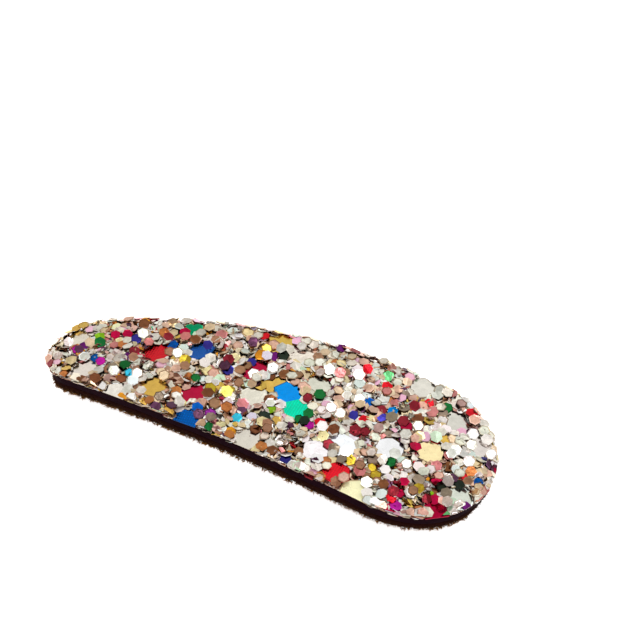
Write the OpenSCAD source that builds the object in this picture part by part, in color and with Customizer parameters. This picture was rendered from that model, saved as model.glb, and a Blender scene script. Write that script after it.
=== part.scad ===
// Covered snap hair clip, closed. A drop-shaped spring clip of sheet steel lies between a felt
// backing and a sheet of chunky glitter cloth, and the whole stack is arched along its length.
// The steel tongue comes out through a slit in the felt and lies along its underside.
// Sizes are in millimetres. +X runs from the narrow end to the wide end and +Z is up. The
// origin is on the surface that the clip rests on, under the middle of its box.

/* [Outline] */
// Length of the cover, measured along its underside
cover_length = 58; // [54:1:62]
// Radius of the cover's narrow end
narrow_radius = 5.6; // [4.8:0.1:6.5]
// Radius of the cover's wide end, which is half its width
wide_radius = 10.9; // [10:0.1:12]
// Radius of the long, slightly bulging sides
side_radius = 185; // [120:5:300]

/* [Arch] */
// Radius of the arch, at the clip's underside
arch_radius = 93; // [80:1:120]
// How deep the felt is flattened where each end rests
heel_depth = 0.25; // [0.15:0.05:0.35]

/* [Layers] */
// Thickness of the felt backing
felt_thickness = 1.0; // [1:0.1:2]
// Thickness of the dark cloth that the glitter is bonded to
cloth_thickness = 1.0; // [0.5:0.1:1.5]
// Thickness of the bed of glitter flakes
glitter_thickness = 0.85; // [0.6:0.05:1.4]
// Radius of the rounding along the glitter's upper edge
glitter_edge = 0.3; // [0.1:0.05:0.5]

/* [Steel clip] */
// Length of the steel clip
steel_length = 50; // [47:1:51]
// Radius of the steel clip's narrow end
steel_narrow_radius = 3.8; // [3.6:0.1:4]
// Radius of the steel clip's wide end
steel_wide_radius = 7.5; // [7.2:0.1:8]
// Thickness of the sheet steel
steel_thickness = 0.45; // [0.35:0.05:0.5]
// Width of each arm of the frame
arm_width = 3; // [2.4:0.1:3.2]
// Length of the tongue, from its tip to the middle of the frame's wide end
tongue_length = 43; // [40:1:44]
// Radius of the tongue's rounded tip
tongue_tip_radius = 1.9; // [1.6:0.1:2.2]
// Half the width of the tongue at its root
tongue_root_radius = 3.2; // [2.8:0.1:3.3]

/* [Hidden] */

// Glue line between two layers, and the room beside the steel in the felt
glue_line = 0.04;
steel_room = 0.15;
// Gap between the felt's underside and the closed tongue
tongue_gap = 0.3;
// Where the tongue starts to dip through the felt, the length of that dip, and how far the slit
// in the felt reaches past it
dip_start = 18;
dip_length = 6;
slit_reach = 3;
// Where the frame's opening ends and its solid wide end begins
bow_start = 20;
// Radii of the long sides of the steel frame and of its tongue
steel_side_radius = 160;
tongue_side_radius = 400;

// Steps along the narrow end, the long side and the wide end of half an outline
narrow_steps = 10;
side_steps = 20;
wide_steps = 14;
half_steps = narrow_steps + side_steps + wide_steps;
loop_steps = 2 * half_steps;
// Length of one flat of an arched strip, and degrees between the steps of a rounding
flat_length = 1;
round_step = 30;
// Larger than the clip in every direction, for the shapes that cut it
reach = 60;

half_length = cover_length / 2;
end_angle = half_length / arch_radius * 180 / PI;
// From the arch's centre up to the surface that the clip rests on
floor_height = arch_radius * cos(end_angle) + heel_depth;

cloth_low = felt_thickness + glue_line;
cloth_high = cloth_low + cloth_thickness;
glitter_low = cloth_high + glue_line;
glitter_high = glitter_low + glitter_thickness;
steel_middle = felt_thickness - glue_line - steel_thickness / 2;
tongue_middle = -tongue_gap - steel_thickness / 2;

// The point s along the arch and h above the felt's underside, bent into the XZ plane
function bent(s, h) =
    let (angle = s / arch_radius * 180 / PI)
    [(arch_radius + h) * sin(angle), (arch_radius + h) * cos(angle) - floor_height];

// Points along an arc, from one angle to another
function arc(centre, radius, from, to, steps) =
    [for (i = [0:steps])
        let (angle = from + (to - from) * i / steps)
        centre + radius * [cos(angle), sin(angle)]];

function without_first(list) = [for (i = [1:len(list) - 1]) list[i]];

// Half of a drop's outline, from its narrow tip to its wide tip: an arc for each end and one
// for the long side, which is tangent to both. It is centred on x = 0.
function half_drop(length, narrow, wide, side) =
    let (
        narrow_centre = [narrow - length / 2, 0],
        wide_centre = [length / 2 - wide, 0],
        between = wide_centre.x - narrow_centre.x,
        along = ((side - narrow) ^ 2 - (side - wide) ^ 2 + between ^ 2) / (2 * between),
        side_centre = narrow_centre + [along, -sqrt((side - narrow) ^ 2 - along ^ 2)],
        side_from = atan2(-side_centre.y, narrow_centre.x - side_centre.x),
        side_to = atan2(-side_centre.y, wide_centre.x - side_centre.x)
    )
    concat(
        arc(narrow_centre, narrow, 180, side_from, narrow_steps),
        without_first(arc(side_centre, side, side_from, side_to, side_steps)),
        without_first(arc(wide_centre, wide, side_to, 0, wide_steps))
    );

// The whole outline, from the narrow tip round by +Y and back. grow moves it outwards.
function drop(length, narrow, wide, side, grow = 0) =
    let (half = half_drop(length + 2 * grow, narrow + grow, wide + grow, side + grow))
    concat(half, [for (i = [half_steps - 1:-1:1]) [half[i].x, -half[i].y]]);

// One layer of the cover. Each row of the table is [inset, height] and gives one loop, and walls
// join the loops. The two caps are strips across the layer, so that they follow the arch.
module arched_layer(rows) {
    last_loop = (len(rows) - 1) * loop_steps;
    points = [
        for (row = rows)
            for (p = drop(cover_length, narrow_radius, wide_radius, side_radius, -row[0]))
                let (q = bent(p.x, row[1]))
                [q.x, p.y, q.y]
    ];
    walls = [
        for (first = [0:loop_steps:last_loop - 1])
            for (i = [0:loop_steps - 1])
                let (a = first + i, b = first + (i + 1) % loop_steps)
                each [[a, b, b + loop_steps], [a, b + loop_steps, a + loop_steps]]
    ];
    // Strip i of a cap, whose other side is counted from the end of the loop
    function strip(i) =
        i == 0 ? [0, 1, loop_steps - 1] :
        i == half_steps - 1 ? [i, i + 1, i + 2] :
        [i, i + 1, loop_steps - i - 1, loop_steps - i];
    under = [for (i = [0:half_steps - 1]) let (s = strip(i)) [for (k = [len(s) - 1:-1:0]) s[k]]];
    over = [for (i = [0:half_steps - 1]) [for (k = strip(i)) last_loop + k]];
    polyhedron(points, concat(walls, under, over));
}

// A strip that follows a path of [s, h] points along the arch and is wider than the clip in Y
module arched_strip(path, thickness) {
    last = len(path) - 1;
    function offset_point(i, side) =
        let (
            ahead = path[min(i + 1, last)] - path[max(i - 1, 0)],
            along = ahead / norm(ahead)
        )
        bent(path[i].x - side * along.y * thickness / 2, path[i].y + side * along.x * thickness / 2);
    rotate([90, 0, 0])
        linear_extrude(reach, center = true)
            polygon(concat(
                [for (i = [0:last]) offset_point(i, 1)],
                [for (i = [last:-1:0]) offset_point(i, -1)]
            ));
}

// A path along the whole arch at one height
function level_path(h) = [for (s = [-half_length:flat_length:half_length]) [s, h]];

// The tongue's middle is level in the frame, dips smoothly through the felt and runs below it
function tongue_height(s) =
    let (share = min(1, max(0, (dip_start - s) / dip_length)))
    steel_middle + (tongue_middle - steel_middle) * share ^ 2 * (3 - 2 * share);

function tongue_path(from, to) = [for (s = [from:flat_length:to]) [s, tongue_height(s)]];

module steel_outline(grow) {
    polygon(drop(steel_length, steel_narrow_radius, steel_wide_radius, steel_side_radius, grow));
}

// The frame in plan. room widens its metal on every side, for the pocket in the felt.
module frame_plan(room = 0) {
    difference() {
        steel_outline(room);
        intersection() {
            steel_outline(-arm_width - room);
            translate([bow_start - room - reach, -reach / 2])
                square(reach);
        }
    }
}

module tongue_plan(room = 0) {
    translate([(steel_length - arm_width - tongue_length) / 2, 0])
        polygon(drop(tongue_length, tongue_tip_radius, tongue_root_radius, tongue_side_radius, room));
}

// A plan shape as an upright block that reaches through the whole clip
module upright() {
    linear_extrude(reach, center = true)
        children();
}

// The pocket that the frame is pressed into, open towards the cloth
module frame_pocket() {
    floor_h = steel_middle - steel_thickness / 2 - glue_line;
    intersection() {
        upright() frame_plan(steel_room);
        arched_strip(level_path(floor_h + felt_thickness / 2), felt_thickness);
    }
}

// The slit that the tongue comes out through
module tongue_slit() {
    intersection() {
        upright() tongue_plan(steel_room);
        arched_strip(
            tongue_path(dip_start - dip_length - slit_reach, dip_start + slit_reach),
            steel_thickness + 2 * steel_room
        );
    }
}

// The bed of glitter flakes, with a rounded upper edge
module glitter_layer() {
    color("tan")
        arched_layer([
            [0, glitter_low],
            for (angle = [0:round_step:90])
                [glitter_edge * (1 - cos(angle)), glitter_high - glitter_edge * (1 - sin(angle))]
        ]);
}

// The dark cloth that the flakes are bonded to
module base_cloth() {
    color([0.10, 0.05, 0.08])
        arched_layer([
            [0, cloth_low],
            [0, cloth_high]
        ]);
}

// The felt backing, flattened where each end rests on a surface
module felt_backing() {
    color([0.14, 0.08, 0.08])
        difference() {
            intersection() {
                arched_layer([
                    [0, 0],
                    [0, felt_thickness]
                ]);
                translate([-reach / 2, -reach / 2, 0])
                    cube(reach);
            }
            frame_pocket();
            tongue_slit();
        }
}

// The spring clip: a drop-shaped frame, and the tongue that springs from its wide end
module snap_clip() {
    color("silver")
        union() {
            intersection() {
                upright() frame_plan();
                arched_strip(level_path(steel_middle), steel_thickness);
            }
            intersection() {
                upright() tongue_plan();
                arched_strip(tongue_path(-half_length, half_length), steel_thickness);
            }
        }
}

glitter_layer();
base_cloth();
felt_backing();
snap_clip();
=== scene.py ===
import random
from math import atan2, ceil, cos, hypot, pi, radians, sin, sqrt, tan, tau

import bmesh
import bpy
import numpy as np
from mathutils import Matrix, Vector, noise


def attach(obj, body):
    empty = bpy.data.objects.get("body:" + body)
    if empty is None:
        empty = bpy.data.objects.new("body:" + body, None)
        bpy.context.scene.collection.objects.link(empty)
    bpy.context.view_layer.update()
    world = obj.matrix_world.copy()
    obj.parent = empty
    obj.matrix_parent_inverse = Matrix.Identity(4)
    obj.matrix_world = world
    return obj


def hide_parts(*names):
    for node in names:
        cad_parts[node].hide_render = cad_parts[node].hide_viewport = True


# Covered snap hair clip: glitter flakes, dark cloth, felt and a sprung steel clip.
# Everything is in metres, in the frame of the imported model.

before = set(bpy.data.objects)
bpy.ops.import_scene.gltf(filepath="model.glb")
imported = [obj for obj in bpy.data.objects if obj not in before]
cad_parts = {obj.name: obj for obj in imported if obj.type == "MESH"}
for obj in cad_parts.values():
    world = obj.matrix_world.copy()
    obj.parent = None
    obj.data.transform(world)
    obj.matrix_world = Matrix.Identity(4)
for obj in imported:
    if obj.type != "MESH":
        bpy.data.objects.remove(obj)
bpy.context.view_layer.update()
mm = 0.001
scene = bpy.context.scene

# The cover's outline and arch. s runs along the arch, y across it, h up from the felt's underside.
cover = dict(
    length=58 * mm,
    narrowRadius=5.6 * mm,
    wideRadius=10.9 * mm,
    sideRadius=185 * mm,
    archRadius=93 * mm,
    heelDepth=0.25 * mm,
    rimStep=0.22 * mm,  # spacing of the points round the cut edge
)
archRadius = cover["archRadius"]
floorHeight = archRadius * cos(cover["length"] / 2 / archRadius) + cover["heelDepth"]
narrowAt = cover["narrowRadius"] - cover["length"] / 2
wideAt = cover["length"] / 2 - cover["wideRadius"]
sideReach = cover["sideRadius"] - cover["narrowRadius"]
sideAlong = (sideReach ** 2 - (cover["sideRadius"] - cover["wideRadius"]) ** 2) / (2 * (wideAt - narrowAt))
sideAlong += (wideAt - narrowAt) / 2
sideDown = -sqrt(sideReach ** 2 - sideAlong ** 2)
sideAt = narrowAt + sideAlong


def bent(s, y, h):  # a point of the flat stack, bent round the arch
    angle = s / archRadius
    radius = archRadius + h
    return Vector((radius * sin(angle), y, radius * cos(angle) - floorHeight))


def unbent(p):  # s, y and h of a point
    x, z = p[0], p[2] + floorHeight
    return archRadius * atan2(x, z), p[1], hypot(x, z) - archRadius


def halfRim():  # points on one side of the outline, from the narrow tip to the wide tip
    sideFrom = atan2(-sideDown, narrowAt - sideAt)
    sideTo = atan2(-sideDown, wideAt - sideAt)
    arcs = (
        (narrowAt, 0, cover["narrowRadius"], pi, sideFrom),
        (sideAt, sideDown, cover["sideRadius"], sideFrom, sideTo),
        (wideAt, 0, cover["wideRadius"], sideTo, 0),
    )
    points = []
    for centreS, centreY, radius, start, end in arcs:
        steps = ceil(radius * abs(end - start) / cover["rimStep"])
        for i in range(steps):
            angle = start + (end - start) * i / steps
            points.append((centreS + radius * cos(angle), centreY + radius * sin(angle)))
    return points + [(cover["length"] / 2, 0)]


def rimDepth(s, y):  # how far inside the outline each place is, and the way out of it from there
    s, y = np.asarray(s, float), np.asarray(y, float)
    fromSide = s - sideAt, np.abs(y) - sideDown
    isNarrow = (narrowAt - sideAt) * fromSide[1] + sideDown * fromSide[0] > 0
    isWide = (wideAt - sideAt) * fromSide[1] + sideDown * fromSide[0] < 0
    centreS = np.where(isNarrow, narrowAt, np.where(isWide, wideAt, sideAt))
    centreY = np.where(isNarrow | isWide, 0, sideDown)
    endRadius = np.where(isNarrow, cover["narrowRadius"], cover["wideRadius"])
    radius = np.where(isNarrow | isWide, endRadius, cover["sideRadius"])
    outS, outY = s - centreS, np.abs(y) - centreY
    reach = np.maximum(np.hypot(outS, outY), 1e-9)
    return radius - reach, outS / reach, np.copysign(1, y) * outY / reach


def rimAt(s, y):  # the same for one place, as plain numbers
    return [float(x) for x in rimDepth(s, y)]


def show(name, data):  # a new object in the scene
    thing = bpy.data.objects.new(name, data)
    scene.collection.objects.link(thing)
    return thing


def weld(bm):
    bmesh.ops.remove_doubles(bm, verts=bm.verts[:], dist=0.001 * mm)


def pointOut(bm):
    bmesh.ops.recalc_face_normals(bm, faces=bm.faces[:])


def meshOf(name, bm):
    mesh = bpy.data.meshes.new(name)
    bm.to_mesh(mesh)
    bm.free()
    return mesh


def placePiece(mesh, materials, replaced):  # a finished mesh as a piece that rides on the clip
    piece = show(mesh.name, mesh)
    for material in materials:
        mesh.materials.append(material)
    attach(piece, "root")
    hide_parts(replaced)
    print(mesh.name, "done,", sum(len(p.vertices) - 2 for p in mesh.polygons), "triangles")
    return piece


# Camera, at the photo's angle

view = dict(
    azimuth=24.77,  # degrees, from straight in front towards the wide end
    elevation=42.12,
    distance=369.3 * mm,
    target=Vector((-2.35, 20.78, -0.3)) * mm,
    lens=163.5,
    sensor=36,
)


def fromAngles(azimuth, elevation):  # the way out to a camera or light
    a, e = radians(azimuth), radians(elevation)
    return Vector((sin(a) * cos(e), -cos(a) * cos(e), sin(e)))


def aim(thing, place, target):
    turn = (place - target).to_track_quat("Z", "Y").to_matrix().to_4x4()
    thing.matrix_world = Matrix.Translation(place) @ turn


toCamera = fromAngles(view["azimuth"], view["elevation"])
camera = show("camera", bpy.data.cameras.new("camera"))
camera.data.lens = view["lens"]
camera.data.sensor_width = view["sensor"]
camera.data.clip_start = 10 * mm
camera.data.clip_end = 10
aim(camera, view["target"] + view["distance"] * toCamera, view["target"])
scene.camera = camera
print("camera set")

studio = dict(
    bright=1.25,  # radiance of the white walls, which all these colours are shares of
    walls="FFFDFA",
    gaps="C8B2A8",  # what is between them
    backdrop=("E2E0D8", (-0.24, 0.75, 0.62), 0.72, 0.86),  # the plain paper that the flat flakes mirror
    room=("A08884", (0.33, -0.85, 0.15), 0.6, 1),  # behind the camera; way, and cosines of its soft rim
    topLight=(25, 84, 0.88, 0.2, 0.2, 2.8),  # azimuth, elevation, distance, width, height, radiance
    softboxes=(
        (176, 52, 0.9, 0.6, 0.5, 0.35),
        (135, 42, 0.9, 0.2, 0.3, 1.3),
        (-60, 40, 1.0, 0.06, 0.5, 5),
    ),
)


# Materials

def linearColour(hexColour):  # an sRGB hex value as linear RGBA
    srgb = [int(hexColour[i:i + 2], 16) / 255 for i in (0, 2, 4)]
    return (*((c / 12.92 if c <= 0.04045 else ((c + 0.055) / 1.055) ** 2.4) for c in srgb), 1)


def fill(tree, node, sockets):  # each socket with a value, a hex colour, or a node or output to link
    for name, value in sockets.items():
        if isinstance(value, bpy.types.Node):
            value = next(output for output in value.outputs if output.enabled)
        if isinstance(value, bpy.types.NodeSocket):
            tree.links.new(value, node.inputs[name])
        else:
            node.inputs[name].default_value = linearColour(value) if isinstance(value, str) else value


def addNode(tree, kind, sockets, **settings):
    node = tree.nodes.new("ShaderNode" + kind)
    for name, value in settings.items():
        setattr(node, name, value)
    fill(tree, node, sockets)
    return node


def newMaterial(name, **shader):  # a material, its node tree, its shader and its Object coordinates
    material = bpy.data.materials.new(name)
    material.use_nodes = True
    tree = material.node_tree
    principled = tree.nodes["Principled BSDF"]
    fill(tree, principled, {socket.replace("_", " "): value for socket, value in shader.items()})
    coordinates = tree.nodes.new("ShaderNodeTexCoord").outputs["Object"]
    return material, tree, principled, coordinates


def vary(tree, shader, *nodes):  # what varies over a surface: its colour, roughness and relief
    fill(tree, shader, dict(zip(("Base Color", "Roughness", "Normal"), nodes)))


# the pattern scales the colour: in the metallised films it paints reflection mottle
def filmColour(tree, pattern, darkest, lightest):  # a flake's own colour, unevenly bright
    film = addNode(tree, "Attribute", {}, attribute_name="film")
    shade = addNode(tree, "MapRange", {
        "Value": pattern, "From Min": 0.3, "From Max": 0.7, "To Min": darkest, "To Max": lightest})
    return addNode(tree, "VectorMath", {0: film, "Scale": shade}, operation="SCALE")


def metallisedFilm(name, peelDepth, darkest, lightest, gridPitch=None):
    # Vacuum-metallised polyester film, lacquered and die-cut: mirror bright, one colour to a flake,
    # with a faint orange peel, patches worn by rubbing, a few pinpricks and a thin clear lacquer. The
    # noise of those patches also paints reflection mottle into the colour, lighter and darker than the
    # film. Embossed film also has a fine grid of dots; the real one has five to a millimetre, drawn
    # here as three.
    material, tree, shader, at = newMaterial(name, Metallic=1, Coat_Weight=0.08, Coat_Roughness=0.05)
    # patches worn by rubbing, whose noise also paints reflection mottle into the film colour
    rubAndPaintedSheen = addNode(tree, "TexNoise", {
        "Vector": at, "Scale": 1 / (0.9 * mm), "Detail": 3, "Roughness": 0.6})
    peel = addNode(tree, "TexNoise", {"Vector": at, "Scale": 1 / (1.1 * mm), "Detail": 2.5})
    dullness = addNode(tree, "MapRange", {
        "Value": rubAndPaintedSheen, "From Min": 0.35, "From Max": 0.7, "To Min": 0.22, "To Max": 0.09})
    pricks = addNode(tree, "TexVoronoi", {"Vector": at, "Scale": 1 / (1.2 * mm)})
    prick = addNode(tree, "MapRange", {
        "Value": pricks, "From Min": 0, "From Max": 0.09, "To Min": 2.5, "To Max": 0,
    }, interpolation_type="SMOOTHSTEP")
    relief = addNode(tree, "Math", {0: peel, 1: prick})
    if gridPitch:
        waves = {"Vector": at, "Scale": pi / 10 / gridPitch}
        across, along = (addNode(tree, "TexWave", waves, bands_direction=axis) for axis in ("X", "Y"))
        dots = addNode(
            tree, "Math", {0: across.outputs["Fac"], 1: along.outputs["Fac"]}, operation="MULTIPLY")
        relief = addNode(tree, "Math", {0: relief, 1: dots})
    bump = addNode(tree, "Bump", {"Height": relief, "Strength": 0.8, "Distance": peelDepth})
    vary(tree, shader, filmColour(tree, rubAndPaintedSheen, darkest, lightest), dullness, bump)
    return material


def pearlFilm():
    # Pearlescent polyester film: milky and glossy, with a soft metallic bloom in place of a mirror.
    material, tree, shader, at = newMaterial(
        "pearlFilm", Metallic=0.25, IOR=1.64, Coat_Weight=0.6, Coat_Roughness=0.05)
    bloom = addNode(tree, "TexNoise", {"Vector": at, "Scale": 1 / (0.7 * mm), "Detail": 2})
    dullness = addNode(tree, "MapRange", {
        "Value": bloom, "From Min": 0.35, "From Max": 0.7, "To Min": 0.38, "To Max": 0.22})
    bump = addNode(tree, "Bump", {"Height": bloom, "Strength": 0.5, "Distance": 0.02 * mm})
    vary(tree, shader, filmColour(tree, bloom, 0.9, 1), dullness, bump)
    return material


def glitterBinder():
    # Acrylic binder full of glitter dust: a lumpy glue of silver, rose and brown specks, seen in the
    # crevices. The real specks are 0.05 mm across, and are drawn at 0.2 mm to show.
    material, tree, shader, at = newMaterial(
        "glitterBinder", Metallic=0.3, IOR=1.49, Coat_Weight=0.5, Coat_Roughness=0.1)
    specks = addNode(tree, "TexVoronoi", {"Vector": at, "Scale": 1 / (0.2 * mm)})
    chance = addNode(tree, "SeparateColor", {"Color": specks.outputs["Color"]})
    dust = addNode(tree, "Mix", {0: chance.outputs["Red"], 6: "5E3C36", 7: "C8A48C"}, data_type="RGBA")
    isSilver = addNode(tree, "MapRange", {
        "Value": chance.outputs["Green"], "From Min": 0.6, "From Max": 0.65})
    colour = addNode(tree, "Mix", {0: isSilver, 6: dust, 7: "ECE6DE"}, data_type="RGBA")
    dullness = addNode(tree, "MapRange", {"Value": chance.outputs["Blue"], "To Min": 0.2, "To Max": 0.5})
    bump = addNode(tree, "Bump", {"Height": specks, "Strength": 0.7, "Distance": 0.12 * mm})
    vary(tree, shader, colour, dullness, bump)
    return material


def coatedCloth():
    # Dark cotton cloth, coated and cut with a die: a smooth, dense, near-black plum edge.
    material, tree, shader, at = newMaterial("coatedCloth", Specular_IOR_Level=0.02)
    patches = addNode(tree, "TexNoise", {
        "Vector": at, "Scale": 1 / (0.8 * mm), "Detail": 4, "Roughness": 0.65})
    threads = addNode(tree, "TexNoise", {"Vector": at, "Scale": 1 / (0.16 * mm), "Detail": 2})
    colour = addNode(tree, "Mix", {0: patches, 6: "0A0206", 7: "1E0712"}, data_type="RGBA")
    dullness = addNode(tree, "MapRange", {"Value": threads, "To Min": 0.65, "To Max": 0.95})
    bump = addNode(tree, "Bump", {"Height": threads, "Strength": 0.7, "Distance": 0.06 * mm})
    vary(tree, shader, colour, dullness, bump)
    return material


def craftFelt():
    # Needle-punched polyester felt: matt brown-black, mottled, with a tangle of fine fibres.
    # The real fibres are 0.02 mm across, so the tangle is drawn at 0.12 mm to show.
    material, tree, shader, at = newMaterial("craftFelt", Specular_IOR_Level=0.02)
    mottle = addNode(tree, "TexNoise", {
        "Vector": at, "Scale": 1 / (1.3 * mm), "Detail": 5, "Roughness": 0.7})
    tangle = addNode(tree, "TexNoise", {
        "Vector": at, "Scale": 1 / (0.12 * mm), "Detail": 3, "Distortion": 1.5})
    colour = addNode(tree, "Mix", {0: mottle, 6: "150507", 7: "2A120C"}, data_type="RGBA")
    dullness = addNode(tree, "MapRange", {"Value": tangle, "To Min": 0.85, "To Max": 1.0})
    bump = addNode(tree, "Bump", {"Height": tangle, "Strength": 0.9, "Distance": 0.1 * mm})
    vary(tree, shader, colour, dullness, bump)
    return material


def feltFibre():
    # Loose polyester fibres at the felt's cut edge: dark at the root, with thin tips painted a glowing brown,
    # a painted backlight.
    material, tree, shader, at = newMaterial("feltFibre", Roughness=0.8, Specular_IOR_Level=0.1)
    along = addNode(tree, "Attribute", {}, attribute_name="paintedTipGlow")
    lots = addNode(tree, "TexNoise", {"Vector": at, "Scale": 1 / (0.6 * mm), "Detail": 2})
    root = addNode(tree, "Mix", {0: lots, 6: "180808", 7: "341A12"}, data_type="RGBA")
    # painted backlight: the tips' bright brown is a painted glowing fringe, strongest on the lowest fibres
    colour = addNode(tree, "Mix", {0: along.outputs["Fac"], 6: root, 7: "96682E"}, data_type="RGBA")
    vary(tree, shader, colour)
    return material


def nickelPlate():
    # Nickel-plated spring steel, stamped from strip: warm grey and bright, with rolling lines along it.
    # The real lines are a few hundredths of a millimetre apart, and are drawn at 0.15 mm to show.
    material, tree, shader, at = newMaterial("nickelPlate", Metallic=1)
    stretched = addNode(tree, "Mapping", {"Vector": at, "Scale": (0.04, 1, 0.3)})
    lines = addNode(tree, "TexNoise", {"Vector": stretched, "Scale": 1 / (0.15 * mm), "Detail": 3})
    tarnish = addNode(tree, "TexNoise", {"Vector": at, "Scale": 1 / (4 * mm), "Detail": 4})
    colour = addNode(tree, "Mix", {0: tarnish, 6: "B9B4AB", 7: "DAD8D3"}, data_type="RGBA")
    dullness = addNode(tree, "MapRange", {
        "Value": lines, "From Min": 0.3, "From Max": 0.7, "To Min": 0.2, "To Max": 0.38})
    bump = addNode(tree, "Bump", {"Height": lines, "Strength": 0.4, "Distance": 0.01 * mm})
    vary(tree, shader, colour, dullness, bump)
    return material


# Glitter flakes

films = dict(  # colour of each film, and its share of the mix; large flakes alone are of steel
    silver=("E4E0D8", 27), coolSilver=("E2E2DA", 16), iceSilver=("DEDEE0", 3), frost=("E8EAEE", 1),
    satin=("CCCAC2", 4), steel=("C6C6BE", 0), champagne=("DCC6A6", 17), rose=("DCB2A0", 11),
    mauve=("B08C88", 2), taupe=("A0765C", 2.5), pewter=("8E7E70", 1.6), plum=("5A3650", 2),
    umber=("7C4C30", 1.2), gold=("D8B456", 3.5), paleGold=("ECDCA8", 3.5), ivory=("F2ECDA", 2.5),
    amber=("E09828", 1.2), copper=("BC7440", 2.2), salmon=("D08080", 2.5), red=("D41626", 1.2),
    crimson=("B4083E", 1.2), maroon=("882430", 1.2), magenta=("B01A94", 0.05), purple=("6A1A70", 0.15),
    navy=("302C84", 0.15), blue=("0256B0", 0.1), azure=("0086E2", 0.05), cyan=("3CC4EE", 0.05),
    teal=("00D8AE", 0.05), green=("186C34", 0.1), lime=("84B81E", 0.05), olive=("BCA230", 0.3),
    bottle=("263026", 0.1), emerald=("049A68", 0.05), pink=("F0B8D8", 1.2), mint=("CCF2D2", 0.6),
    spring=("6CCC84", 0.05), lilac=("DCD2EA", 0.8), opal=("DCEEEC", 1.5), white=("F5F3F5", 3),
    lemon=("F0F2C4", 0.3),
)
pearlNames = ("pink", "mint", "lilac", "opal", "white", "ivory", "lemon")
dusky = ("silver", "mauve", "taupe", "pewter", "plum", "umber", "maroon")  # commoner in the tumbles
embossed = ("blue", "teal", "red")  # large flakes of these have a fine grid pressed into them
shards = ("silver", "champagne", "rose", "mauve", "taupe", "pewter", "plum", "copper")  # crumpled or broken

bed = dict(  # the binder that the flakes lie in
    low=2.08 * mm,  # its underside and its top
    high=2.22 * mm,
    edgeThickness=0.04 * mm,  # at the cut edge
    edgeWidth=0.9 * mm,  # it thins out over this width there
    lumps=0.1 * mm,
    lumpSize=2.4 * mm,
    droop=0.6 * mm,  # how far below it flakes may hang past the cut edge
    lanes=60,  # faces across it, and up its cut edge
    rows=3,
    cutWidth=0.1 * mm,  # faces this near the outline are on the cut edge
)
flake = dict(
    small=(1.08 * mm, 1.36 * mm),  # across the flats: 1/20 inch, and how it varies
    large=(3.1 * mm, 3.3 * mm),  # 1/8 inch
    chip=(0.35 * mm, 0.85 * mm),  # broken bits
    flash=1.27 * mm,
    thickness=0.05 * mm,
    rimRoll=(0.11 * mm, 0.05 * mm),  # width of a small and a large one's rolled rim, before scaling
    rimRise=0.026 * mm,  # and how far it rises or falls
    creases=(0.2, -0.16),  # slopes of the halves of a creased flake
    folds=(15, 50),  # degrees that a crumpled flake is folded by, twice
    foldReach=0.15 * mm,  # and how far from its middle
    wrinkles=0.03 * mm,
    cracks=(1, 1, 2),  # how often a chip is snapped
    crackReach=0.25 * mm,  # and how far from its middle
    kinds=12,  # of crumpled flakes, and of chips
    batchTones=(0.74, 1.05, 1),  # a small flake beside its film: darkest, lightest and usual
    tints=(0.95, 1.05),  # and each of its primary colours
    brightest=0.95,
    rimPaintedLight=(0.35, 0.5, 0.7, 1, 1.3),  # painted highlight and shade on the rolled rim, beside the flake's middle
    cutPaintedLight=(0.5, 1.6),  # painted highlight and shade on its own cut edge
    trimPaintedShade=0.55,  # painted shade where the die cut it again, with the cloth
    paintedEdgeWarmth=(0.75, 1, 1.3),  # powers of those painted light and shade factors in red, green and blue, so painted dark edges are brown
    clearance=(1.9 * mm, 0.75 * mm),  # of chance flakes, from a charted large one and a small one
    buriedMargin=0.75 * mm,  # how far buried flakes keep inside the cut edge, so the heap is round
    topMargin=0.05 * mm,
    ceiling=2.98 * mm,  # no chance flake's middle lies higher
    attempts=40,  # to find a place for a chance flake
    buriedCount=950,
    chipCount=500,  # laid twice, with the buried flakes and with the last ones
    crumpleCount=150,
    topCount=910,
    lastCount=390,  # laid once the charted ones are down
    wobble=(4, 9, 18),  # degrees that buried flakes, top ones and chips lean away from how they settled
    standingWobble=(3, 2),  # and a small and a large charted one
    snug=dict(  # the share of the pile under a flake that is below it
        buried=0.8, edge=0.8, crumpled=0.85, top=0.93, charted=0.98, flash=0.99, large=0.995, last=1),
    duskyFrom=1.4,  # the unrest from which some chance flakes are dusky, and how many
    duskyShare=0.3,
    following=0.6,  # how far a flake follows the slope of what is under it
    steepest=0.6,
    droop=0.22,  # the most that flakes near the cut edge lean out over it
    droopWidth=0.8 * mm,
    facing=(60, 86),  # elevations that small charted flakes face, and the spread of their azimuth
    facingSpread=30,
    settling=(1.8 * mm, 1.1 * mm),  # but nearer the far and the near cut edge they lie as they settle
    nearFrom=0.2,  # how far a cut edge faces the camera, for a near one
    rimCount=300,  # flakes laid over the cut edge, their slope, and how far inside it they are
    rimSlope=(0.08, 0.4),
    rimInset=(0.15 * mm, 0.5 * mm),
    overhang=(0, 0.28 * mm, 0.05 * mm),  # of what the die leaves of a flake: least, most and usual
    seed=11,
)

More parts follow.
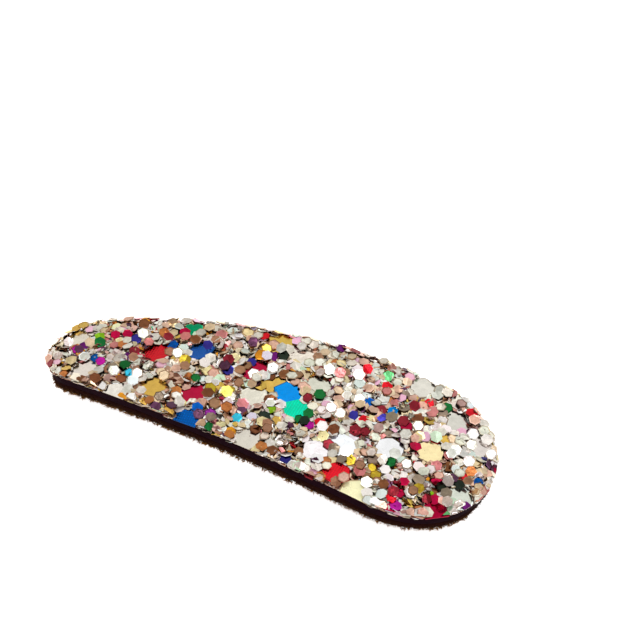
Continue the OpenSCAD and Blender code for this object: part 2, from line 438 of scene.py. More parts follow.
# Flakes that stand out are charted: s and y in mm, a large one's turn in degrees, and for some how
# many degrees it is tipped towards the camera
largeFlakes = dict(
    silver=((-26.2, 1.5, 30), (-22.5, -3.8, 12), (-16.6, -7.4, 40), (-0.5, -2.1, 33), (1.5, 7.1, 28)),
    satin=((25.6, 4.8, 20), (16.3, 9.2, 10)),
    coolSilver=((1.8, -8.9, 22),),
    steel=((5.5, 3.2, 18), (22.0, 6.6, 4), (26.8, -3.9, 8)),
    iceSilver=((16.9, -2.2, 16, 6),),
    frost=((9.7, -7.1, 6, 8), (12.0, -4.7, 24)),
    gold=((-12.3, -4.9, 30, 2), (1.1, 0.9, 14), (-1.6, 7.7, 0)),
    paleGold=((21.1, 0.2, 30),),
    lemon=((16.0, -10.4, 0),),
    red=((-14.8, 1.1, 10), (13.1, -9.0, 20)),
    crimson=((-7.2, -4.4, 15), (-2.2, 1.9, 8), (25.3, -7.5, 12)),
    blue=((-9.8, 2.8, 0), (-6.2, -8.8, 0)),
    azure=((2.9, 0.1, 30),),
    teal=((4.9, -2.1, 12),),
)
smallFlakes = dict(
    lime=((-23.3, 2.1),),
    emerald=((-12.9, 6.2), (-12.0, 6.4), (-12.4, 5.6)),
    crimson=(
        (-21.3, 2.6), (-19.9, 3.1), (17.2, 2.0), (19.4, -0.5), (20.4, -6.3), (20.6, -7.9), (-13.0, 5.1),
        (24.4, -6.4), (23.5, -3.5)),
    purple=((-24.5, 0.1), (-17.9, -0.9), (-3.7, -7.2), (-1.1, 5.1), (5.4, 9.8), (-10.0, -9.2), (27.8, -4.5)),
    magenta=((-25.0, -0.8), (-20.7, -2.5), (7.4, -3.9), (21.0, -9.9)),
    blue=((-5.4, -7.1), (-21.8, -1.9), (-13.5, 2.7), (12.0, 3.2), (27.6, -0.5)),
    azure=((14.9, 3.3),),
    cyan=((-0.6, -6.5), (-16.0, -3.8)),
    navy=((11.2, 0.2), (14.1, 1.7), (7.2, -10.1), (-4.8, 0.0), (-18.3, 2.4), (-9.2, 3.6), (-3.2, 3.0)),
    green=(
        (-22.6, 0.9), (6.0, -3.6), (-17.2, -2.7), (-8.0, -2.2), (-2.9, -9.3), (20.1, 7.6), (17.9, -4.5),
        (6.4, 1.4), (6.5, -2.2)),
    bottle=((2.2, -4.9), (-0.2, 5.5), (25.9, -2.5), (24.4, -4.1)),
    copper=(
        (9.9, -3.0), (4.0, -9.7), (-24.5, -5.3), (-11.4, -7.7), (-15.4, 4.3), (-2.3, -5.7), (26.3, 0.2),
        (-19.6, 1.2), (-9.3, -4.9)),
    amber=((-18.9, 6.1), (-0.3, -8.8), (-22.7, 5.2), (-26.4, -3.8), (-10.7, 6.3), (-2.6, 4.3), (-15.3, -7.6)),
    umber=(
        (2.1, -7.3), (-21.6, -6.0), (-18.8, -5.9), (1.2, 2.8), (9.2, -1.8), (23.8, -0.7), (-0.2, 1.8),
        (-11.2, 4.2), (-16.4, -5.2), (17.9, 3.8)),
    olive=((-5.5, -3.4), (-3.3, -2.7), (-10.6, 0.3), (13.7, -6.5), (16.4, -6.1), (17.2, -7.0), (22.2, -6.0)),
    gold=(
        (-28.0, 2.6), (-27.3, 3.3), (-26.6, 3.9), (-24.5, -4.5), (-2.4, 5.6), (3.7, -5.0), (21.9, 2.9),
        (-0.5, -0.2), (-8.4, -8.8)),
    paleGold=((-7.9, 0.0), (-7.2, -0.5), (-5.9, 7.8), (-3.6, -3.3), (2.4, -6.0), (9.6, -4.9)),
    red=(
        (-3.7, 7.8), (9.6, 7.9), (12.7, 6.7), (22.9, 8.6), (18.0, 7.0), (8.3, -2.8), (12.6, 0.3),
        (20.1, -9.4)),
    maroon=(
        (-17.4, 0.2), (16.8, 5.3), (12.4, -2.0), (13.5, -1.7), (16.6, 2.4), (5.4, 0.1), (-5.2, 1.1),
        (13.6, 2.9), (10.6, -5.6), (23.6, -6.9)),
    champagne=((3.4, 3.7), (7.1, 9.2), (-23.5, 0.2)),
    salmon=((-0.9, -4.3), (-8.6, 6.1), (18.9, 5.8), (22.6, -1.7), (-12.6, 4.4), (15.4, -7.6)),
    pink=((19.7, 1.9), (14.4, 9.6), (23.0, 5.4), (0.2, 8.7), (-26.4, -3.6), (14.9, 5.9)),
    rose=(
        (10.6, 9.7), (25.4, -6.2), (-8.8, -3.5), (-5.9, 5.0), (10.7, -11.0), (19.6, -10.7), (-13.2, -6.9),
        (-2.1, 6.9)),
    mint=((-5.3, -1.3), (20.8, 2.5), (26.4, -5.6)),
    spring=((26.7, -7.2), (12.2, 8.3)),
    lilac=((0.9, -5.7), (-1.8, 4.4)),
    pewter=(
        (-3.3, -7.8), (20.0, 6.6), (-10.4, -7.0), (15.9, -0.2), (15.9, -4.9), (21.7, -4.8), (25.2, -5.1),
        (11.4, -5.8)),
    plum=((-4.4, 6.2), (18.9, -7.6), (24.9, -2.0), (-8.4, -7.8), (-4.9, -7.8), (-5.3, 0.2), (-10.0, -9.3)),
    taupe=(
        (-18.9, -3.7), (3.6, 7.1), (7.5, 6.2), (15.1, -6.9), (17.7, -7.8), (-13.1, 1.2), (-2.9, -1.1),
        (-3.5, 2.3), (-20.7, -6.2), (-3.9, -5.6), (-3.8, 1.1), (13.7, -10.4), (26.6, -1.7)),
    opal=((9.7, 5.5), (-0.7, 1.5), (25.2, 2.7), (24.7, -0.6), (18.9, -9.4), (-12.1, 2.7), (-14.8, -5.2)),
    silver=(
        (24.4, -8.3), (3.4, -6.6), (20.2, 4.2), (-0.2, 7.0), (-26.8, 0.4), (-1.1, 1.4), (17.0, -4.6),
        (13.5, 8.0), (-7.8, -6.9), (9.7, -0.3), (-11.2, 2.0), (20.4, 9.6), (9.3, 2.7), (27.4, -6.5),
        (15.0, 0.8), (-13.1, -6.4), (-6.4, -1.8), (2.2, 8.9), (3.4, 9.1), (1.2, 9.0), (24.8, 7.9),
        (8.3, -1.3), (25.3, -1.0)),
    white=(
        (9.0, -3.9), (10.6, -8.5), (17.8, -5.6), (-8.0, 0.3), (17.4, -10.0), (-13.7, -7.9), (20.9, -3.0),
        (24.6, -3.2), (7.7, -1.0)),
)
lastFlakes = dict(  # laid on top of the others
    silver=(
        (1.9, -2.7), (11.8, -8.8), (17.9, -3.4), (19.2, 9.6), (25.2, 6.9), (26.0, 6.0), (1.1, 8.0),
        (27.3, -6.3), (4.9, 4.8), (25.8, -6.4), (-1.3, 0.4), (15.4, -4.2), (18.0, -0.3), (10.8, 10.0),
        (23.4, 1.0)),
    satin=((17.7, 0.4), (24.7, -3.5), (-0.7, 6.1), (-13.3, -8.6), (-11.2, -8.9), (21.7, -3.5)),
    champagne=((-12.1, -2.8), (11.2, 2.1), (-11.6, -3.3), (-10.5, 6.8)),
    rose=((23.5, -3.4), (14.3, -9.7), (23.6, 7.7)),
    salmon=((-16.4, 2.1), (7.1, 5.6), (13.0, 5.9)),
    mauve=((21.3, 9.1), (14.6, -0.3)),
    taupe=((3.2, -6.4), (21.8, -6.7), (-16.8, -1.2), (-10.1, -0.8), (-8.7, 4.8), (3.5, -7.0)),
    pewter=((-19.8, -6.0), (-18.5, -3.4), (15.2, 2.2)),
    umber=((10.2, -3.2), (-18.5, 5.0), (5.4, -9.8), (-5.4, -4.3), (-19.3, -6.3), (18.6, -8.2)),
    copper=((-0.2, -9.5),),
    gold=((-3.4, -3.3),),
    green=((6.5, 1.1),),
    bottle=((6.7, -3.7),),
    maroon=((-14.5, 3.6), (20.0, -8.7)),
    plum=((-24.4, -1.1),),
    white=((10.4, -8.3),),
)
flashes = (  # silver flakes that lean so that they throw the top light at the camera
    (-14.9, -3.9), (-17.5, -4.7), (-11.9, 0.9), (-17.7, 3.2), (5.7, 5.6), (9.2, 6.3), (8.6, -0.4),
    (10.8, 2.8), (27.2, -5.9), (-1.8, 0.7), (-0.3, 2.8), (18.4, 2.6), (24.3, 5.6),
    (19.6, -3.6), (27.3, 4.0), (24.8, 4.0), (23.6, 1.8), (25.5, 1.2), (12.9, -5.8), (16.8, -8.8),
)
tumbles = (  # patches where the flakes lie in a tumble, as s, y and radius in mm
    (-7.6, 3.2, 2.2), (-4.0, 6.0, 1.8), (-5.0, 1.6, 1.8), (-22.0, -6.2, 2.0), (17.0, 3.0, 2.0),
    (-3.2, -5.2, 2.4), (19.4, -0.8, 1.7), (-9.5, -8.6, 1.6), (23.4, -5.2, 2.2), (9.0, 2.5, 1.4),
    (-16.0, -1.5, 1.4), (19.6, -7.6, 2.0), (7.0, -8.0, 1.4), (-27.0, -1.6, 1.4),
)
unrestRange = (0.6, 2.6)  # of how flakes wobble, far from a patch and in its middle

dice = random.Random(flake["seed"])
cell = 0.1 * mm  # of the height map that the flakes settle on
mapS = np.arange(-29.8 * mm, 29.8 * mm, cell)
mapY = np.arange(-11.7 * mm, 11.7 * mm, cell)


def bedHeight(s, y):  # top of the binder, lumpy and thinner at the cut edge
    depth = rimAt(s, y)[0]
    if depth < 0:  # past the rim the flakes droop
        return bed["low"] + max(-bed["droop"], 2 * depth)
    full = min(1, depth / bed["edgeWidth"])
    lump = noise.noise(Vector((s, y, 0)) / bed["lumpSize"]) * bed["lumps"]
    edge = bed["low"] + bed["edgeThickness"]
    return edge + (bed["high"] - edge + lump) * full * (2 - full)


pileTop = np.array([[bedHeight(s, y) for y in mapY] for s in mapS])
print("binder map ready")


def footprint(s, y, across, turn):  # the map's cells under a hexagonal flake
    reach = across * 0.6  # just past its corners
    rows, lanes = (
        slice(max(0, int((at - reach - axis[0]) / cell)), int((at + reach - axis[0]) / cell) + 2)
        for at, axis in ((s, mapS), (y, mapY)))
    ds, dy = np.meshgrid(mapS[rows] - s, mapY[lanes] - y, indexing="ij")
    ways = [turn, turn + pi / 3, turn - pi / 3]
    inside = np.all([np.abs(ds * cos(w) + dy * sin(w)) <= across / 2 for w in ways], axis=0)
    return rows, lanes, ds, dy, inside


def unrest(s, y):  # how much more than usual the flakes are tumbled at a place
    nearest = min(hypot(s - ts * mm, y - ty * mm) / (radius * mm) for ts, ty, radius in tumbles)
    calm, wild = unrestRange
    return calm + (wild - calm) * min(1, max(0, 1.5 - nearest))  # wild up to half the radius


def settle(s, y, across, turn, wobble, lean, highest, snugness):
    # The height and slopes at which a flake comes to rest, or none where it would lie too high
    rows, lanes, ds, dy, inside = footprint(s, y, across, turn)
    under, ds, dy = pileTop[rows, lanes], ds[inside], dy[inside]
    heights = under[inside]
    if lean is None:
        fit = np.linalg.lstsq(np.stack([ds, dy, np.ones_like(ds)], 1), heights, rcond=None)[0]
        depth, outS, outY = rimAt(s, y)
        droop = dice.uniform(0, flake["droop"]) * max(0, 1 - depth / flake["droopWidth"])
        swing = wobble * unrest(s, y)
        lean = [flake["following"] * fit[i] + tan(radians(dice.gauss(0, swing))) for i in (0, 1)]
        lean = [lean[0] - droop * outS, lean[1] - droop * outY]
        steep = hypot(*lean) / flake["steepest"]
        lean = [part / max(1, steep) for part in lean]
    plane = ds * lean[0] + dy * lean[1]
    height = float(np.quantile(heights - plane, snugness))
    if height > highest:
        return None, None
    under[inside] = np.maximum(heights, height + plane + flake["thickness"])
    return height, lean


def raiseSheet(bm, height):  # thickens a flat sheet upwards, and gives its raised faces
    raised = bmesh.ops.extrude_face_region(bm, geom=bm.faces[:])["geom"]
    top = [v for v in raised if isinstance(v, bmesh.types.BMVert)]
    bmesh.ops.translate(bm, verts=top, vec=(0, 0, height))
    return [f for f in raised if isinstance(f, bmesh.types.BMFace)]


def hexagon(rise, roll):  # a die-cut flake 1 mm across, its underside at zero and its rim rolled by rise
    # The faces' numbers mark its middle, 0, its rolled rim, 1, and its cut edge, 2 or, cut again, 3
    bm = bmesh.new()
    bmesh.ops.create_circle(bm, cap_ends=True, segments=6, radius=mm / sqrt(3))
    lid = raiseSheet(bm, flake["thickness"])
    bm.normal_update()
    for face in bm.faces:
        face.material_index = 2 if abs(face.normal.z) < 0.5 else 0
    if rise:
        rim = bmesh.ops.inset_region(bm, faces=lid, thickness=roll)
        bmesh.ops.translate(bm, verts=lid[0].verts[:], vec=(0, 0, rise))
        for face in rim["faces"]:
            face.material_index = 1
    pointOut(bm)
    return bm


def split(bm, place, out, isOpen):  # cuts along a plane; an open cut loses what lies past it
    geom = bm.verts[:] + bm.edges[:] + bm.faces[:]
    cut = bmesh.ops.bisect_plane(bm, geom=geom, plane_co=place, plane_no=out, clear_outer=isOpen)
    return cut["geom_cut"]


def creased(slope):  # a flake bent across its middle
    bm = hexagon(0, 0)
    split(bm, (0, 0, 0), (1, 0, 0), False)
    for v in bm.verts:
        v.co.z += slope * abs(v.co.x)
    return bm


def crumpled():  # a flake folded along two chance creases
    bm = bmesh.new()
    bmesh.ops.create_circle(bm, cap_ends=True, cap_tris=True, segments=6, radius=mm / sqrt(3))
    bmesh.ops.subdivide_edges(bm, edges=bm.edges[:], cuts=1, use_grid_fill=True)
    for _ in range(2):
        way, off = dice.uniform(0, tau), dice.uniform(-1, 1) * flake["foldReach"]
        fold = tan(radians(dice.uniform(*flake["folds"])))
        for v in bm.verts:
            v.co.z += fold * abs(v.co.x * cos(way) + v.co.y * sin(way) + off)
    for v in bm.verts:
        v.co += Vector([dice.gauss(0, flake["wrinkles"]) for _ in range(3)])
    raiseSheet(bm, flake["thickness"])
    pointOut(bm)
    return bm


def broken():  # a chip: a flake snapped across in one or two places
    bm = hexagon(0, 0)
    for _ in range(dice.choice(flake["cracks"])):
        way = dice.uniform(0, tau)
        out = Vector((cos(way), sin(way), 0))
        cutOff(bm, out * dice.uniform(0, flake["crackReach"]), out)
    return bm


def cutOff(bm, place, out):  # takes off what lies past a plane, and closes the cut
    edges = [e for e in split(bm, place, out, True) if isinstance(e, bmesh.types.BMEdge)]
    for face in bmesh.ops.holes_fill(bm, edges=edges)["faces"]:
        face.material_index = 3


def cutFlush(bm, s, y, overhang):  # takes off what lies past the die's cut
    corners = np.array([v.co[:2] for v in bm.verts])
    if rimDepth(corners[:, 0], corners[:, 1])[0].min() > -overhang:
        return
    depth, outS, outY = rimAt(s, y)
    out = Vector((outS, outY, 0))
    cutOff(bm, Vector((s, y, 0)) + out * (depth + overhang), out)


def gather(heap, bm, film):  # adds a flake to those of one joined mesh
    first = len(heap["points"])
    heap["points"] += [bent(*v.co) for v in bm.verts]
    batch = 1 if heap is large else dice.triangular(*flake["batchTones"])
    colour = [c * batch * dice.uniform(*flake["tints"]) for c in linearColour(films[film][0])[:3]]
    # painted highlight and shade: the rolled rim and cut edges are brighter or darker than the middle
    paintedTones = (1, dice.choice(flake["rimPaintedLight"]), dice.choice(flake["cutPaintedLight"]), flake["trimPaintedShade"])
    slot = 1 if film in pearlNames else 2 if heap is large and film in embossed else 0
    for face in bm.faces:
        heap["faces"].append([first + v.index for v in face.verts])
        paintedTone = paintedTones[face.material_index]
        # painted shade at dark edges is warmed to brown
        shade = [c * paintedTone ** warmth for c, warmth in zip(colour, flake["paintedEdgeWarmth"])]
        heap["colours"].append([min(flake["brightest"], c) for c in shade] + [1])
        heap["slots"].append(slot)


def heapPiece(heap, name, materials):
    mesh = bpy.data.meshes.new(name)
    mesh.from_pydata(heap["points"], [], heap["faces"])
    shade = mesh.attributes.new("film", "FLOAT_COLOR", "FACE")
    shade.data.foreach_set("color", np.array(heap["colours"], np.float32).ravel())
    mesh.polygons.foreach_set("material_index", np.array(heap["slots"], np.int32))
    mesh.validate()
    return placePiece(mesh, materials, "glitter_layer")


def anyFilm(among):
    return dice.choices(among, [films[name][1] for name in among])[0]


def chanceSize(sizes):  # how wide a flake is, and how it is turned
    return dice.uniform(*sizes), dice.uniform(0, pi / 3)


def layFlake(heap, templates, s, y, across, turn, film, wobble, snugness, lean=None, highest=1):
    height, lean = settle(s, y, across, turn, wobble, lean, highest, snugness)
    if height is None:
        return False
    up = Vector((-lean[0], -lean[1], 1)).normalized()
    tilt = Vector((0, 0, 1)).rotation_difference(up).to_matrix().to_4x4()
    size = across / mm
    bm = dice.choice(templates).copy()
    bmesh.ops.transform(
        bm, verts=bm.verts[:],
        matrix=Matrix.Translation((s, y, height)) @ tilt @ Matrix.Rotation(turn, 4, "Z")
        @ Matrix.Diagonal((size, size, 1, 1)))
    cutFlush(bm, s, y, dice.triangular(*flake["overhang"]))
    bm.verts.index_update()
    if len(bm.faces) > 3:  # the die left something of it
        gather(heap, bm, film)
    bm.free()
    return True


def lowPlace(across, turn, tries, margin):  # of a few chance places in the outline, the lowest one
    best = None
    for _ in range(tries):
        while True:
            s, y = dice.uniform(-0.5, 0.5) * cover["length"], dice.uniform(-1, 1) * cover["wideRadius"]
            if rimAt(s, y)[0] > margin:
                break
        rows, lanes, _, _, inside = footprint(s, y, across, turn)
        height = pileTop[rows, lanes][inside].mean()
        if best is None or height < best[0]:
            best = (height, s, y)
    return best[1:]


def leanTo(way, s):  # the slopes of a flake at s that faces that way
    angle = s / archRadius
    up = way.x * sin(angle) + way.z * cos(angle)
    along = way.x * cos(angle) - way.z * sin(angle)
    return [-along / up, -way.y / up]


standing = [sum(chart.values(), ()) for chart in (largeFlakes, smallFlakes)]
standing = list(zip(standing, flake["clearance"]))


def isClear(s, y, isLast=False):  # off the charted large flakes, and at last off the small ones too
    return all(
        hypot(s - place[0] * mm, y - place[1] * mm) > near
        for places, near in standing[:2 if isLast else 1]
        for place in places)


def scatter(heap, templates, among, sizes, count, tries, wobble, snugness, isBuried=False, isLast=False):
    margin, highest = flake["buriedMargin" if isBuried else "topMargin"], flake["ceiling"]
    for _ in range(count):
        across, turn = chanceSize(sizes)
        for _ in range(flake["attempts"]):
            s, y = lowPlace(across, turn, tries, margin)
            if isBuried or isClear(s, y, isLast):
                isDusky = unrest(s, y) > flake["duskyFrom"] and dice.random() < flake["duskyShare"]
                film = anyFilm(dusky if isDusky else among)
                if layFlake(heap, templates, s, y, across, turn, film, wobble, snugness, None, highest):
                    break


def layCharted(chart, templates, snugness):  # small flakes, facing up more than the others
    for film, places in chart.items():
        for s, y in places:
            s, y = s * mm, y * mm
            across, turn = chanceSize(flake["small"])
            depth, outS, outY = rimAt(s, y)
            azimuth = view["azimuth"] + dice.gauss(0, flake["facingSpread"])
            facing = fromAngles(azimuth, dice.uniform(*flake["facing"]))
            isNear = outS * toCamera.x + outY * toCamera.y >= flake["nearFrom"]
            lean = None if depth < flake["settling"][isNear] else leanTo(facing, s)
            layFlake(small, templates, s, y, across, turn, film, flake["standingWobble"][0], snugness, lean)


smallFilm = metallisedFilm("smallFilm", 0.09 * mm, 0.7, 1.1)
largeFilm = metallisedFilm("largeFilm", 0.04 * mm, 0.88, 1.02)
embossedFilm = metallisedFilm("embossedFilm", 0.04 * mm, 0.88, 1.02, 0.32 * mm)
pearls = pearlFilm()
hexagons, largeHexagons = (
    [hexagon(rise, roll) for rise in (0, flake["rimRise"], -flake["rimRise"])] for roll in flake["rimRoll"])
mixed = 2 * hexagons + [creased(slope) for slope in flake["creases"]]
folded = [crumpled() for _ in range(flake["kinds"])]
chips = [broken() for _ in range(flake["kinds"])]
small, large, bits = (dict(points=[], faces=[], colours=[], slots=[]) for _ in range(3))
rimPoints = halfRim()

buriedWobble, topWobble, chipWobble = flake["wobble"]
smallSizes, chipSizes, snug, everyFilm = flake["small"], flake["chip"], flake["snug"], list(films)
scatter(small, hexagons, everyFilm, smallSizes, flake["buriedCount"], 3, buriedWobble, snug["buried"], True)
scatter(bits, chips, shards, chipSizes, flake["chipCount"], 4, chipWobble, snug["buried"], True)
print("buried flakes laid")
for film, places in largeFlakes.items():
    for s, y, turn, *tipped in places:
        across = dice.uniform(*flake["large"])
        lean = list(-tan(radians(tipped[0])) * toCamera.xy.normalized()) if tipped else None
        turn, wobble = radians(turn), flake["standingWobble"][1]
        layFlake(large, largeHexagons, s * mm, y * mm, across, turn, film, wobble, snug["large"], lean)
for _ in range(flake["rimCount"]):
    s, y = dice.choice(rimPoints)
    y *= dice.choice((-1, 1))
    outS, outY = rimAt(s, y)[1:]
    inset, slope = dice.uniform(*flake["rimInset"]), dice.uniform(*flake["rimSlope"])
    across, turn = chanceSize(smallSizes)
    s, y = s - outS * inset, y - outY * inset
    if isClear(s, y):
        lean = [-slope * outS, -slope * outY]
        film = anyFilm(everyFilm)
        layFlake(small, hexagons, s, y, across, turn, film, 0, snug["edge"], lean, flake["ceiling"])
scatter(bits, folded, shards, smallSizes, flake["crumpleCount"], 4, topWobble, snug["crumpled"])
scatter(small, mixed, everyFilm, smallSizes, flake["topCount"], 4, topWobble, snug["top"])
layCharted(smallFlakes, mixed, snug["charted"])
scatter(small, mixed, everyFilm, smallSizes, flake["lastCount"], 6, topWobble, snug["top"], isLast=True)
scatter(bits, chips, everyFilm, chipSizes, flake["chipCount"], 8, chipWobble, snug["buried"], isLast=True)
flash = (toCamera + fromAngles(*studio["topLight"][:2])).normalized()
for s, y in flashes:
    turn = dice.uniform(0, pi / 3)
    lean = leanTo(flash, s * mm)
    layFlake(small, hexagons, s * mm, y * mm, flake["flash"], turn, "silver", 0, snug["flash"], lean)
layCharted(lastFlakes, hexagons, snug["last"])
print("flake heights, mm:", (np.percentile(pileTop, [50, 75, 95, 100]) / mm).round(2))

smallPiece = heapPiece(small, "glitter_flakes_small", [smallFilm, pearls])
largePiece = heapPiece(large, "glitter_flakes_large", [largeFilm, pearls, embossedFilm])
bitsPiece = heapPiece(bits, "glitter_bits", [smallFilm, pearls])


# Binder, cloth and felt

def flatSheet(lanes):  # a grid across the outline, its columns at the rim's points
    rim = halfRim()
    bm = bmesh.new()
    bmesh.ops.create_grid(bm, x_segments=len(rim) - 1, y_segments=lanes, size=1)
    for v in bm.verts:
        s, halfWidth = rim[round((v.co.x + 1) / 2 * (len(rim) - 1))]
        across = sin(v.co.y * pi / 2)  # narrower lanes towards the rim
        v.co = Vector((s, across * halfWidth, 0))
    weld(bm)
    pointOut(bm)
    if bm.faces[0].normal.z < 0:
        bmesh.ops.reverse_faces(bm, faces=bm.faces[:])
    return bm


def thicken(bm, rows):  # raises a flat sheet by one, with rows of faces up its cut edge
    raiseSheet(bm, 1)
    upright = [e for e in bm.edges if abs(e.verts[0].co.z - e.verts[1].co.z) > 0.5]
    bmesh.ops.subdivide_edges(bm, edges=upright, cuts=rows - 1, use_grid_fill=True)
    pointOut(bm)


binder = flatSheet(bed["lanes"])
thicken(binder, bed["rows"])
for v in binder.verts:
    s, y, level = v.co
    v.co = bent(s, y, bed["low"] + (bedHeight(s, y) - bed["low"]) * level)
binder.normal_update()
for face in binder.faces:  # the die's cut shows the coating, not the dust
    isAtCut = rimAt(*face.calc_center_median()[:2])[0] < bed["cutWidth"]
    face.material_index = 1 if isAtCut and abs(face.normal.z) < 0.5 else 0
clothEdge = coatedCloth()
binderPiece = placePiece(
    meshOf("glitter_binder", binder), [glitterBinder(), clothEdge], "glitter_layer")

cloth = dict(
    low=1.04 * mm,
    high=2.05 * mm,
    lanes=16,
    rows=8,
    cutWidth=0.4 * mm,  # the cut edge wavers, frays and is slightly rounded over this width
    waver=0.05 * mm,
    waverSize=3 * mm,
    fray=0.025 * mm,
    fraySize=0.3 * mm,
    rounding=0.04 * mm,
)
sheet = flatSheet(cloth["lanes"])
thicken(sheet, cloth["rows"])
for v in sheet.verts:
    s, y, level = v.co
    depth, outS, outY = rimAt(s, y)
    edge = max(0, 1 - depth / cloth["cutWidth"])
    push = cloth["waver"] * noise.noise(Vector((s, y, 0)) / cloth["waverSize"])
    push += cloth["fray"] * noise.noise(Vector((s, y, level * mm)) / cloth["fraySize"])
    push -= cloth["rounding"] * abs(2 * level - 1) ** 3
    h = cloth["low"] + (cloth["high"] - cloth["low"]) * level
    v.co = bent(s + outS * push * edge, y + outY * push * edge, h)
clothPiece = placePiece(meshOf("cloth_sheet", sheet), [clothEdge], "base_cloth")

felt = dict(
    voxel=0.2 * mm,
    pile=0.09 * mm,
    pileSize=0.35 * mm,
    skin=0.12 * mm,  # the pile is on the underside and the cut edge, to this depth
    cutTop=0.9 * mm,  # and up to this height
    fibres=14000,
    rimShare=11 / 14,  # the rest are on the underside
    rimBand=(-0.02 * mm, 0.75 * mm, 0.02 * mm),  # heights of their roots: lowest, highest and usual
    underReach=(28 * mm, 10.5 * mm),
    rootDepth=0.06 * mm,
    lowSlope=(-0.9, 0.5),  # of fibres that start lower than lowBand, and its spread
    highSlope=(-0.3, 0.4),
    lowBand=0.3 * mm,
    swerve=0.5,
    bend=0.35,
    fibreLength=(0.12 * mm, 0.32 * mm),
    fibreRadius=0.036 * mm,
    clumps=(0.5, 1.1),  # length of the fibres between the clumps, and what a clump adds
    clumpSize=0.45 * mm,
    lowEdge=(0.25 * mm, 0.1 * mm),  # the lowest part of the cut edge: its height and depth
    tuftShare=0.2,  # of the lowest ones, those matted into tufts
    tuftLength=(0.2 * mm, 0.48 * mm),
    tuftRadius=0.075 * mm,
    tuftSlope=0.3,  # beside that of a fibre
    dimPaintedGlow=0.2,  # painted backlight at the tips of the other fibres
    tongueReach=(-21.5 * mm, 24 * mm),  # where those on the underside keep off the tongue
    tongueClear=4.4 * mm,
    seed=5,
)
bm = bmesh.new()  # a copy of the CAD node as one closed skin
bm.from_mesh(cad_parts["felt_backing"].data)
weld(bm)
blank = show("felt_blank", meshOf("felt_blank", bm))
remesh = blank.modifiers.new("remesh", "REMESH")
remesh.mode, remesh.voxel_size = "VOXEL", felt["voxel"]
bpy.context.view_layer.update()
feltMesh = bpy.data.meshes.new_from_object(blank.evaluated_get(bpy.context.evaluated_depsgraph_get()))
bpy.data.objects.remove(blank)
bm = bmesh.new()
bm.from_mesh(feltMesh)
bmesh.ops.smooth_vert(bm, verts=bm.verts[:], factor=0.5, use_axis_x=True, use_axis_y=True, use_axis_z=True)
bm.normal_update()
for v in bm.verts:
    s, y, h = unbent(v.co)
    if h < felt["skin"] or rimAt(s, y)[0] < felt["skin"] and h < felt["cutTop"]:
        lump = noise.turbulence(v.co / felt["pileSize"], 3, False)
        v.co += v.normal * felt["pile"] * lump
        v.co.z = max(v.co.z, 0)
feltPiece = placePiece(meshOf("felt_sheet", bm), [craftFelt()], "felt_backing")


def fibreStart():  # where a loose fibre leaves the felt, and the way it points, in s, y and h
    if chance.random() < felt["rimShare"]:
        s, y = rimPoints[chance.randrange(len(rimPoints))]
        y *= chance.choice((-1, 1))
        outS, outY = rimAt(s, y)[1:]
        h = chance.triangular(*felt["rimBand"])
        inset = felt["rootDepth"]
        down = chance.gauss(*felt["lowSlope" if h < felt["lowBand"] else "highSlope"])
        swerve = chance.gauss(0, felt["swerve"])
        way = Vector((outS - outY * swerve, outY + outS * swerve, down))
        return Vector((s - outS * inset, y - outY * inset, h)), way
    while True:
        s, y = (chance.uniform(-1, 1) * reach for reach in felt["underReach"])
        start, end = felt["tongueReach"]
        isOffTongue = abs(y) > felt["tongueClear"] or not start < s < end
        if rimAt(s, y)[0] > felt["lowEdge"][1] and isOffTongue:
            way = Vector((chance.gauss(0, 1), chance.gauss(0, 1), -0.5))
            return Vector((s, y, felt["rootDepth"] / 2)), way


chance = random.Random(felt["seed"])
fibrePoints, fibreFaces, fibreTipGlow = [], [], []
for i in range(felt["fibres"]):
    root, way = fibreStart()
    isLow = root.z < felt["lowEdge"][0] and rimAt(root.x, root.y)[0] < felt["lowEdge"][1]
    paintedGlow = 1 if isLow else felt["dimPaintedGlow"]  # painted backlight: only the lowest tips get the full glowing brown
    isTuft = isLow and chance.random() < felt["tuftShare"]
    if isTuft:
        way.z *= felt["tuftSlope"]
    way.normalize()
    least, more = felt["clumps"]
    clump = least + more * max(0, 0.5 + noise.noise(root / felt["clumpSize"]))
    length = chance.uniform(*felt["tuftLength" if isTuft else "fibreLength"]) * clump
    radius = felt["tuftRadius" if isTuft else "fibreRadius"]
    bend = Vector([chance.gauss(0, felt["bend"]) for _ in range(3)])
    middle = root + way * length * 0.5
    tip = middle + (way + bend).normalized() * length * 0.5
    sideA = way.orthogonal().normalized()
    sideB = way.cross(sideA)
    first = 7 * i
    for centre, share, along in ((root, 1, 0), (middle, 0.8, 0.6)):
        for turn in (0, tau / 3, 2 * tau / 3):
            spoke = (sideA * cos(turn) + sideB * sin(turn)) * radius * share
            fibrePoints.append(bent(*(centre + spoke)))
            fibreTipGlow.append(along * paintedGlow)
    fibrePoints.append(bent(*tip))
    fibreTipGlow.append(paintedGlow)
    for k in range(3):
        after = (k + 1) % 3
        fibreFaces.append((first + k, first + after, first + 3 + after, first + 3 + k))
        fibreFaces.append((first + 3 + k, first + 3 + after, first + 6))
for p in fibrePoints:
    p.z = max(p.z, 0.01 * mm)
fibreMesh = bpy.data.meshes.new("felt_fibres")
fibreMesh.from_pydata(fibrePoints, [], fibreFaces)
fibreShade = fibreMesh.attributes.new("paintedTipGlow", "FLOAT", "POINT")
fibreShade.data.foreach_set("value", np.array(fibreTipGlow, np.float32))
fibrePiece = placePiece(fibreMesh, [feltFibre()], "felt_backing")

feltPiece.data.shade_smooth()
clothPiece.data.shade_smooth()

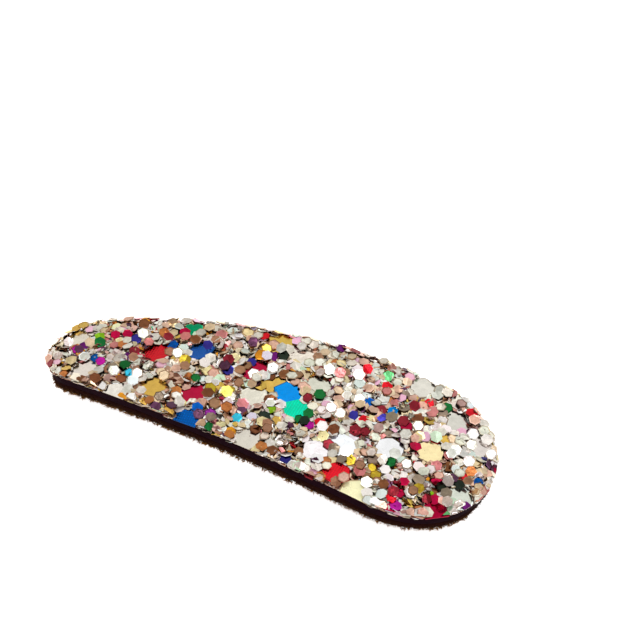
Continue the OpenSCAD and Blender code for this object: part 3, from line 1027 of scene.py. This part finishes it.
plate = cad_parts["snap_clip"].data.materials
plate.clear()
plate.append(nickelPlate())


# Floor and studio light

def studioFloor():
    # White acrylic sweep, lit a little from below as a product table is: plain, matt and near white.
    material, tree, shader, at = newMaterial(
        "studioFloor", Roughness=0.6, Emission_Color=(1, 1, 1, 1), Emission_Strength=0.88)
    grain = addNode(tree, "TexNoise", {"Vector": at, "Scale": 1 / (2 * mm), "Detail": 2})
    colour = addNode(tree, "Mix", {0: grain, 6: "F4F4F3", 7: "F8F8F7"}, data_type="RGBA")
    vary(tree, shader, colour)
    return material


bm = bmesh.new()
bmesh.ops.create_grid(bm, x_segments=4, y_segments=4, size=1.5)
floor = show("floor", meshOf("floor", bm))
floor.data.materials.append(studioFloor())

scene.world = bpy.data.worlds.new("studio")
scene.world.use_nodes = True
tree = scene.world.node_tree
sky = tree.nodes.new("ShaderNodeTexCoord").outputs["Generated"]
clutter = addNode(tree, "TexNoise", {"Vector": sky, "Scale": 3.5, "Detail": 2})
isWall = addNode(tree, "MapRange", {
    "Value": clutter, "From Min": 0.4, "From Max": 0.52}, interpolation_type="SMOOTHSTEP")
around = addNode(tree, "Mix", {0: isWall, 6: studio["gaps"], 7: studio["walls"]}, data_type="RGBA")
for shade, way, start, full in (studio["backdrop"], studio["room"]):
    towards = addNode(tree, "VectorMath", {0: sky, 1: Vector(way).normalized()}, operation="DOT_PRODUCT")
    isThere = addNode(tree, "MapRange", {
        "Value": towards, "From Min": start, "From Max": full}, interpolation_type="SMOOTHSTEP")
    around = addNode(tree, "Mix", {0: isThere, 6: around, 7: shade}, data_type="RGBA")
fill(tree, tree.nodes["Background"], {"Color": around, "Strength": studio["bright"]})

lamps = (studio["topLight"], *studio["softboxes"])
for i, (azimuth, elevation, distance, width, height, strength) in enumerate(lamps):
    light = bpy.data.lights.new(f"softbox{i}", "AREA")
    light.shape, light.size, light.size_y = "RECTANGLE", width, height
    light.energy = strength * pi * width * height
    aim(show(light.name, light), distance * fromAngles(azimuth, elevation), Vector())
scene.view_settings.view_transform = "Standard"
print("studio ready")
